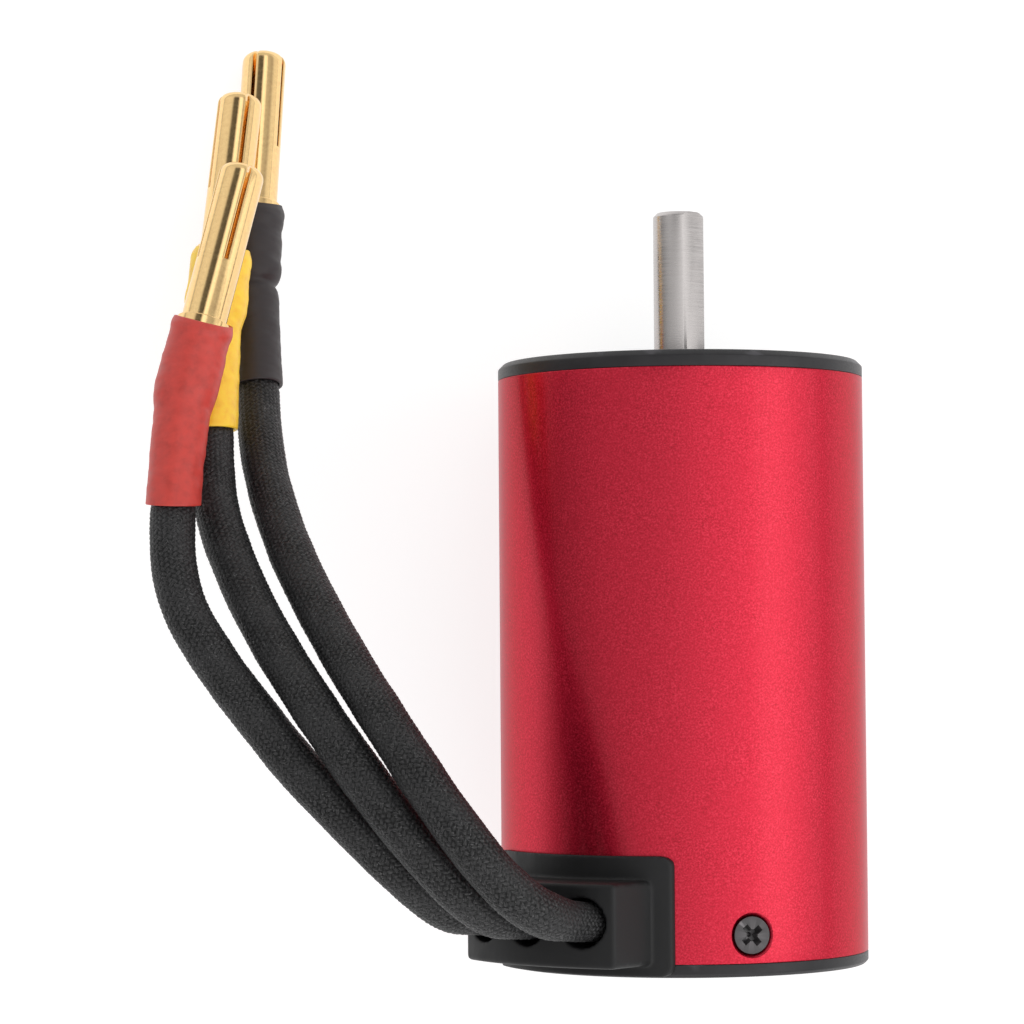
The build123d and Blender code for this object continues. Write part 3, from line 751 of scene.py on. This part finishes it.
def bullet(name, top, aim, spin):
    """A solder cup with a slotted pin: one turned body and four sprung fingers."""
    z = Vector(aim).normalized()
    x = Vector((0, 0, 1)).cross(z).normalized()
    y = z.cross(x)
    place = Matrix((x, y, z)).transposed().to_4x4()
    place.translation = Vector(top) * MM
    twist = Matrix.Rotation(math.radians(spin), 4, "Z")
    stem = PIN_LEN - SLIT_LEN
    body = round_profile([(0.0, stem), (PIN_R, stem), (PIN_R, 0.0), (2.65, 0.0), (2.65, -8.2), (1.65, -8.2), (1.65, -2.2), (0.0, -2.2)], [0, 0, 0.05, 0.15, 0.15, 0.1, 0, 0])
    v, f = spindle([(r, s) for r, s in body], 128)
    # the turned body stands along +Y: turn it onto +Z
    v = np.stack([v[:, 0], -v[:, 2], v[:, 1]], 1)
    verts, faces = [v], [list(q) for q in f]
    base = len(v)
    # one finger's outline at a station, from its outer radius
    def outline(R, ri):
        h = SLIT / 2
        rho = min(0.16, 0.2 * (R - ri))
        a0 = math.asin(h / R)
        d = rho / R
        pts = []
        for k in range(19):
            a = a0 + d + (math.pi / 2 - 2 * a0 - 2 * d) * k / 18
            pts.append((R * math.cos(a), R * math.sin(a)))
        corner = np.array([h, math.sqrt(R * R - h * h)])
        s0, s1 = np.array(pts[-1]), corner - np.array([0, rho])
        for k in range(1, 5):
            q = k / 4
            pts.append(tuple((1 - q) ** 2 * s0 + 2 * q * (1 - q) * corner + q * q * s1))
        b0 = math.asin(h / ri)
        for k in range(7):
            a = math.pi / 2 - b0 - (math.pi / 2 - 2 * b0) * k / 6
            pts.append((ri * math.cos(a), ri * math.sin(a)))
        corner = np.array([math.sqrt(R * R - h * h), h])
        s0, s1 = corner - np.array([rho, 0]), np.array(pts[0])
        for k in range(0, 4):
            q = k / 4
            pts.append(tuple((1 - q) ** 2 * s0 + 2 * q * (1 - q) * corner + q * q * s1))
        return pts

    levels = [(stem, PIN_R)] + [(stem + (PIN_LEN - TIP_R - stem) * k / 10, PIN_R) for k in range(1, 11)]
    for k in range(1, 10):
        a = math.pi / 2 * k / 9.6
        levels.append((PIN_LEN - TIP_R + TIP_R * math.sin(a), PIN_R - TIP_R + TIP_R * math.cos(a)))
    for finger in range(4):
        ca, sa = math.cos(finger * math.pi / 2), math.sin(finger * math.pi / 2)
        ring = []
        for zz, R in levels:
            ring.append([(ca * a - sa * b, sa * a + ca * b, zz) for a, b in outline(R, BORE)])
        n = len(ring[0])
        fv = np.array(ring).reshape(-1, 3)
        start = base
        m = len(levels)
        quads = [[start + i * n + j, start + i * n + (j + 1) % n, start + (i + 1) * n + (j + 1) % n, start + (i + 1) * n + j] for i in range(m - 1) for j in range(n)]
        c0 = len(fv)
        fv = np.vstack([fv, fv[:n].mean(0), fv[-n:].mean(0)])
        caps = [[start + c0, start + (j + 1) % n, start + j] for j in range(n)] + [[start + c0 + 1, start + (m - 1) * n + j, start + (m - 1) * n + (j + 1) % n] for j in range(n)]
        verts.append(fv)
        faces += quads + caps
        base += len(fv)
    ob = add_mesh(name, np.vstack(verts), faces, mats["gold_plate"], sharp=34)
    ob.data.transform(place @ twist)
    return ob


spins = {"black": -23, "yellow": 25, "red": 22}
shrink_profiles = {
    "black": [(0, 2.64), (0.03, 2.63), (0.12, 2.62), (0.40, 2.68), (0.48, 2.74), (0.522, 2.66), (0.545, 2.38), (0.560, 2.40), (0.582, 2.84), (0.62, 3.03), (0.66, 3.06), (0.695, 2.95), (0.74, 3.05), (0.80, 3.02), (0.855, 2.88), (0.90, 3.06), (0.94, 3.10), (0.975, 2.98), (1.0, 2.72)],
    "yellow": [(0, 2.64), (0.03, 2.64), (0.12, 2.64), (0.45, 2.70), (0.55, 2.72), (0.60, 2.86), (0.65, 3.08), (0.74, 3.20), (0.82, 3.00), (0.89, 3.06), (0.94, 3.10), (0.975, 2.98), (1.0, 2.70)],
    "red": [(0, 2.70), (0.03, 2.68), (0.12, 2.66), (0.42, 2.72), (0.50, 2.76), (0.56, 3.00), (0.62, 3.12), (0.72, 3.10), (0.84, 3.00), (0.90, 2.98), (0.945, 3.10), (0.98, 3.05), (1.0, 2.92)],
}
lead_objects = {}
for k, name in enumerate(("black", "yellow", "red")):
    line = nurbs_line(f"{name}_route", routes[name])
    pl = plugs[name]
    rim, neck, top = (np.array(pl[n], float) for n in ("rim", "neck", "top"))
    aim = np.array(pl["tip"], float) - top
    aim /= np.linalg.norm(aim)
    near = int(np.argmin(np.linalg.norm(line - rim, axis=1)))
    covered = float(np.linalg.norm(np.diff(line[near:], axis=0), axis=1).sum())
    lead = braid(f"{name}_braided_lead", line, 3.0 + k * 4.7, (2.6, covered))
    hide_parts(f"{name}_lead")
    # the shrink follows the lead's own line, then the cup's axis
    ahead = line[near:][(neck - line[near:]) @ aim > 2.5]
    axis = np.vstack([ahead, neck, (top - aim * np.array([[6.0], [5.0], [3.5], [2.0], [1.0], [0.0]]))])
    d = np.r_[0, np.cumsum(np.linalg.norm(np.diff(axis, axis=0), axis=1))]
    even = np.linspace(0, d[-1], 400)
    smooth = np.stack([np.interp(even, d, axis[:, c]) for c in range(3)], 1)
    kern = np.exp(-0.5 * (np.arange(-40, 41) / 16.0) ** 2)
    kern /= kern.sum()
    head, tail = smooth[0] - (smooth[1] - smooth[0]) * np.arange(40, 0, -1)[:, None], smooth[-1] + (smooth[-1] - smooth[-2]) * np.arange(1, 41)[:, None]
    padded = np.vstack([head, smooth, tail])
    smooth = np.stack([np.convolve(padded[:, c], kern, mode="valid") for c in range(3)], 1)
    shrink = sleeve_tube(f"{name}_shrink_sleeve", smooth, shrink_profiles[name], 0.42, mats[f"{name}_shrink"], 2.0 + 3.3 * k, 1.45, {"black": (0.30, 0.34), "yellow": (0.32, 0.30), "red": (0.42, 0.40)}[name])
    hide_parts(f"{name}_heat_shrink")
    plug = bullet(f"{name}_bullet_plug", top, aim, spins[name])
    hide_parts(f"{name}_bullet")
    for o in (lead, shrink, plug):
        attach(o, "root")
    lead_objects[name] = (lead, shrink, plug)

# --------------------------------------------------------------------- can
prof = round_profile([(18.0, -1.6), (18.0, -57.75), (16.0, -57.75), (16.0, -1.6)], [0.13, 0.13, 0.1, 0.1])
v, f = lathe(densify(prof, 1.5), 256)
can = add_mesh("can_tube", v, f, mats["red_anodised"])
cutters = []
SCREW_Y = -55.1
for az in (18.0, 138.0, 258.0):
    # countersink: local +Y of the turned cutter points outwards after the two turns
    out = spin_y(az) @ Matrix.Translation(Vector((0, SCREW_Y, 0)) * MM) @ Matrix.Rotation(math.radians(90), 4, "X")
    cutters.append(turned(f"sink_{int(az)}", [(0, 14.0), (1.08, 14.0), (1.08, 16.75), (2.14, 17.93), (2.14, 20.0), (0, 20.0)], 72, out))
cutters.append(box_mesh("window", (-8.9, -56.55, 12), (8.9, -50.55, 22), spin_y(-42)))
cut(can, cutters, 32)
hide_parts("can")
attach(can, "root")

# -------------------------------------------------------------- front bell
prof = round_profile(
    [(18.0, -1.6), (18.0, -0.55), (17.45, 0.0), (6.2, 0.0), (6.2, -0.4), (3.4, -0.4), (3.4, -1.5), (8.0, -1.5), (8.0, -6.5), (9.2, -6.5), (9.2, -4.0), (13.8, -4.0), (13.8, -5.0), (16.0, -5.0), (16.0, -1.6)],
    [0.12, 0.10, 0.10, 0.08, 0.04, 0.12, 0.04, 0.0, 0.1, 0.1, 0.1, 0.1, 0.1, 0.1, 0.0], 3)
v, f = lathe(densify(prof, 1.6), 192)
front = add_mesh("front_bell", v, f, mats["black_anodised"])
cutters = []
for i in range(6):
    at = spin_y(60 * i) @ Matrix.Translation(Vector((0, 0, 12.5)) * MM)
    cutters.append(turned(f"hole_{i}", [(0, -6.0), (1.25, -6.0), (1.25, -0.28), (1.6, 0.07), (1.6, 1.0), (0, 1.0)], 48, at))
cut(front, cutters, 32)
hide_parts("front_end_bell")
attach(front, "root")

# --------------------------------------------------------------- rear bell
prof = round_profile(
    [(18.0, -57.75), (16.0, -57.75), (16.0, -52.5), (13.8, -52.5), (13.8, -56.55), (7.6, -56.55), (7.6, -53.6), (6.5, -53.6), (6.5, -58.1), (3.0, -58.1), (3.0, -59.0), (17.66, -59.0), (18.0, -58.66)],
    [0.12, 0.0, 0.1, 0.1, 0.1, 0.1, 0.1, 0.1, 0.0, 0.05, 0.2, 0.10, 0.10], 3)
v, f = lathe(densify(prof, 1.6), 192)
rear = add_mesh("rear_bell", v, f, mats["black_anodised"])
cutters = [box_mesh("gap", (-9.8, -56.55, 2), (9.8, -51.0, 22), spin_y(-42))]
for az in (18.0, 138.0, 258.0):
    out = spin_y(az) @ Matrix.Translation(Vector((0, SCREW_Y, 0)) * MM) @ Matrix.Rotation(math.radians(90), 4, "X")
    cutters.append(turned(f"tap_{int(az)}", [(0, 12.0), (1.0, 12.0), (1.0, 20.0), (0, 20.0)], 32, out))
cut(rear, cutters, 32)
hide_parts("rear_end_bell")
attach(rear, "root")

# ------------------------------------------------------------------ screws
head = round_profile([(0, 14.2), (0.98, 14.2), (0.98, 16.9), (1.76, 17.70), (1.76, 17.84), (0, 17.84)], [0, 0.2, 0, 0.03, 0.08, 0], 3)
BIG = Matrix.Scale(1000.0, 4)
pattern = turned("screw_pattern", head, 96, BIG)
cross = []
for a in (50, 140):
    bm_v = np.array([[x * (1.34 if y > 17.5 else 0.70), y, z * (0.36 if y > 17.5 else 0.24)] for x in (-1, 1) for y in (16.9, 18.4) for z in (-1, 1)], float)
    fq = np.array([[0, 1, 3, 2], [4, 6, 7, 5], [0, 4, 5, 1], [2, 3, 7, 6], [0, 2, 6, 4], [1, 5, 7, 3]])
    c = add_mesh(f"arm_{a}", bm_v, outward(bm_v, fq), smooth=False)
    c.data.transform(BIG @ Matrix.Rotation(math.radians(-a), 4, "Y"))
    cross.append(c)
cross.append(turned("pit", [(0, 16.61), (0.11, 16.63), (0.52, 17.37), (0.62, 18.37), (0, 18.33)], 37, BIG @ Matrix.Rotation(0.021, 4, "Y")))
cut(pattern, cross, 12)
for i, az in enumerate((18.0, 138.0, 258.0)):
    out = spin_y(az) @ Matrix.Translation(Vector((0, SCREW_Y, 0)) * MM) @ Matrix.Rotation(math.radians(90), 4, "X")
    screw = bpy.data.objects.new(f"screw_{i + 1}", pattern.data.copy())
    scene.collection.objects.link(screw)
    screw.data.transform(out @ Matrix.Scale(0.001, 4))
    screw.data.materials.clear()
    screw.data.materials.append(mats["black_steel"])
    if i == 0:
        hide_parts("rear_bell_screws")
    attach(screw, "root")
bpy.data.objects.remove(pattern)

# ------------------------------------------------------------------- shaft
prof = round_profile([(0, -58.0), (2.5, -58.0), (2.5, -0.7), (2.2, -0.7), (2.2, 0.0), (2.5, 0.0), (2.5, 14.6), (2.1, 15.0), (0, 15.0)], [0, 0.2, 0.05, 0.03, 0.03, 0.05, 0.06, 0.06, 0], 3)
shaft = turned("motor_shaft", prof, 144)
shaft.data.materials.append(mats["ground_steel"])
flat = box_mesh("flat", (-6, -0.3, 2.0), (6, 17, 6), spin_y(44))
cut(shaft, [flat], 24)
bev = shaft.modifiers.new("edge", "BEVEL")
bev.width, bev.segments, bev.limit_method, bev.angle_limit = 0.05 * MM, 2, "ANGLE", math.radians(24)
apply_modifiers(shaft, 40)
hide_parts("shaft")
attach(shaft, "rotor")

# ----------------------------------------------------------------- grommet
src = nodes["lead_grommet"]
gm = src.data.copy()
bm = bmesh.new()
bm.from_mesh(gm)
bmesh.ops.remove_doubles(bm, verts=bm.verts, dist=0.000002)
bm.to_mesh(gm)
bm.free()
gm.materials.clear()
grommet = bpy.data.objects.new("rubber_grommet", gm)
gm.name = "rubber_grommet"
scene.collection.objects.link(grommet)
rm = grommet.modifiers.new("remesh", "REMESH")
rm.mode, rm.voxel_size, rm.adaptivity = "VOXEL", 0.14 * MM, 0.0
sm = grommet.modifiers.new("soften", "SMOOTH")
sm.factor, sm.iterations = 0.5, 5
apply_modifiers(grommet)
grommet.data.materials.append(mats["black_rubber"])
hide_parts("lead_grommet")
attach(grommet, "root")

# ------------------------------------- every carried-over node gets a material
slot_of = {
    "stator_laminations": "lamination_steel", "front_end_insulator": "white_insulator", "rear_end_insulator": "white_insulator",
    "slot_liners": "slot_paper", "phase_u_winding": "enamelled_copper", "phase_v_winding": "enamelled_copper", "phase_w_winding": "enamelled_copper",
    "star_point_bar": "bare_copper", "lead_tails": "silicone_lead", "lead_strands": "bare_copper",
    "front_bearing_outer_ring": "bearing_steel", "front_bearing_shields": "bearing_steel", "rear_bearing_outer_ring": "bearing_steel", "rear_bearing_shields": "bearing_steel",
    "wave_washer": "bearing_steel", "rotor_hub": "ground_steel", "rotor_magnets": "magnet", "rotor_sleeve": "rotor_wrap",
    "front_balance_ring": "brass", "rear_balance_ring": "brass", "front_spacer": "ground_steel", "rear_spacer": "ground_steel",
    "front_bearing_inner_ring": "bearing_steel", "rear_bearing_inner_ring": "bearing_steel", "front_bearing_balls": "bearing_steel",
    "front_bearing_cage": "bearing_steel", "rear_bearing_balls": "bearing_steel", "rear_bearing_cage": "bearing_steel",
    "can": "red_anodised", "front_end_bell": "black_anodised", "rear_end_bell": "black_anodised", "rear_bell_screws": "black_steel",
    "lead_grommet": "black_rubber", "shaft": "ground_steel", "black_lead": "braided_sleeve", "yellow_lead": "braided_sleeve", "red_lead": "braided_sleeve",
    "black_heat_shrink": "black_shrink", "yellow_heat_shrink": "yellow_shrink", "red_heat_shrink": "red_shrink",
    "black_bullet": "gold_plate", "yellow_bullet": "gold_plate", "red_bullet": "gold_plate",
}
for name, ob in nodes.items():
    ob.data.materials.clear()
    ob.data.materials.append(mats[slot_of[name]])

# ------------------------------------------------------------ floor and light
fl, nt, b = new_material("floor_white")
vv = coords_mm(nt)
nt.links.new(ramp(nt, noise(nt, vv, 0.02, 3.0, 0.5), [(0.3, (0.40, 0.40, 0.40)), (0.7, (0.42, 0.42, 0.42))]), b.inputs["Base Color"])
b.inputs["Roughness"].default_value = 0.9
b.inputs["Specular IOR Level"].default_value = 0.1
b.inputs["Emission Color"].default_value = (1.0, 1.0, 1.0, 1.0)
# a lit panel under the motor, fading out round it
px = nt.nodes.new("ShaderNodeSeparateXYZ")
nt.links.new(vv, px.inputs[0])


def panel_edge(axis, a, b_):
    m = nt.nodes.new("ShaderNodeMapRange")
    m.interpolation_type = "SMOOTHSTEP"
    m.inputs["From Min"].default_value = a
    m.inputs["From Max"].default_value = b_
    nt.links.new(px.outputs[axis], m.inputs["Value"])
    return m.outputs["Result"]


def times(a, b_):
    m = nt.nodes.new("ShaderNodeMath")
    m.operation = "MULTIPLY"
    nt.links.new(a, m.inputs[0])
    if isinstance(b_, float):
        m.inputs[1].default_value = b_
    else:
        nt.links.new(b_, m.inputs[1])
    return m.outputs[0]


panel = times(times(panel_edge("X", -330.0, -75.0), panel_edge("X", 230.0, 38.0)), times(panel_edge("Y", -330.0, -72.0), panel_edge("Y", 310.0, 50.0)))
nt.links.new(to_range(nt, panel, 0.20, 0.76), b.inputs["Emission Strength"])
floor = add_mesh("floor", np.array([[-4000, -4000, -18.02], [4000, -4000, -18.02], [4000, 4000, -18.02], [-4000, 4000, -18.02]], float), np.array([[0, 1, 2, 3]]), fl, smooth=False)

world = bpy.data.worlds.new("studio")
scene.world = world
world.use_nodes = True
wt = world.node_tree
bg = wt.nodes["Background"]
tc = wt.nodes.new("ShaderNodeTexCoord")
sep = wt.nodes.new("ShaderNodeSeparateXYZ")
wt.links.new(tc.outputs["Generated"], sep.inputs[0])
ang = wt.nodes.new("ShaderNodeMath")
ang.operation = "ARCTAN2"
wt.links.new(sep.outputs["X"], ang.inputs[0])
wt.links.new(sep.outputs["Z"], ang.inputs[1])
rng = wt.nodes.new("ShaderNodeMapRange")
rng.inputs["From Min"].default_value = -math.pi / 2
rng.inputs["From Max"].default_value = math.pi / 2
wt.links.new(ang.outputs[0], rng.inputs["Value"])


def arc_ramp(arc):
    """Brightness round the motor's axis, from its left side (-90) over the top to its right side (90)."""
    rp = wt.nodes.new("ShaderNodeValToRGB")
    els = rp.color_ramp.elements
    while len(els) < len(arc):
        els.new(0.5)
    for e, (deg, val) in zip(els, arc):
        e.position = (deg + 90) / 180
        e.color = (val / 2, val / 2, val / 2, 1.0)
    wt.links.new(rng.outputs[0], rp.inputs["Fac"])
    return rp.outputs["Color"]


level = arc_ramp([(-90, 0.24), (-70, 0.42), (-54, 0.58), (-26, 0.74), (0, 0.96), (24, 1.18), (44, 1.42), (56, 1.66), (64, 1.40), (74, 0.86), (90, 0.62)])
ahead = arc_ramp([(-90, 0.78), (-76, 0.86), (-54, 0.88), (-38, 0.84), (-31, 0.50), (-25, 0.15), (0, 0.11), (6, 0.9), (12, 1.45), (24, 1.30), (32, 0.62), (56, 0.48), (70, 0.90), (90, 0.95)])
part = wt.nodes.new("ShaderNodeMapRange")
part.inputs["From Min"].default_value = 0.20
part.inputs["From Max"].default_value = 0.36
wt.links.new(sep.outputs["Y"], part.inputs["Value"])
mixer = wt.nodes.new("ShaderNodeMix")
mixer.data_type = "RGBA"
wt.links.new(part.outputs[0], mixer.inputs[0])
wt.links.new(level, mixer.inputs[6])
wt.links.new(ahead, mixer.inputs[7])
# towards both ends of the shaft axis the light evens out to one plain level
ends_y = wt.nodes.new("ShaderNodeMath")
ends_y.operation = "ABSOLUTE"
wt.links.new(sep.outputs["Y"], ends_y.inputs[0])
even_out = wt.nodes.new("ShaderNodeMapRange")
even_out.interpolation_type = "SMOOTHSTEP"
even_out.inputs["From Min"].default_value = 0.68
even_out.inputs["From Max"].default_value = 0.90
wt.links.new(ends_y.outputs[0], even_out.inputs["Value"])
plain = wt.nodes.new("ShaderNodeMix")
plain.data_type = "RGBA"
wt.links.new(even_out.outputs[0], plain.inputs[0])
wt.links.new(mixer.outputs[2], plain.inputs[6])
plain.inputs[7].default_value = (0.36, 0.36, 0.36, 1.0)
wt.links.new(plain.outputs[2], bg.inputs["Color"])
bg.inputs["Strength"].default_value = 2.0

key = bpy.data.lights.new("key", "AREA")
key.shape = "RECTANGLE"
key.size, key.size_y = 0.35, 0.9
key.energy = 0.5
key_ob = bpy.data.objects.new("key", key)
key_ob.location = (0.62, 0.0, 0.12)
key_ob.rotation_euler = (Vector((0, 0, 0)) - Vector(key_ob.location)).to_track_quat("-Z", "Y").to_euler()
scene.collection.objects.link(key_ob)
low = bpy.data.lights.new("low", "AREA")
low.shape = "RECTANGLE"
low.size, low.size_y = 0.7, 0.35
low.energy = 0.9
low_ob = bpy.data.objects.new("low", low)
low_ob.location = (0.12, -0.80, 0.30)
low_ob.rotation_euler = (Vector((0, -0.02, 0)) - Vector(low_ob.location)).to_track_quat("-Z", "Y").to_euler()
scene.collection.objects.link(low_ob)
scene.view_settings.view_transform = "Standard"
scene.view_settings.look = "None"

bpy.context.view_layer.update()
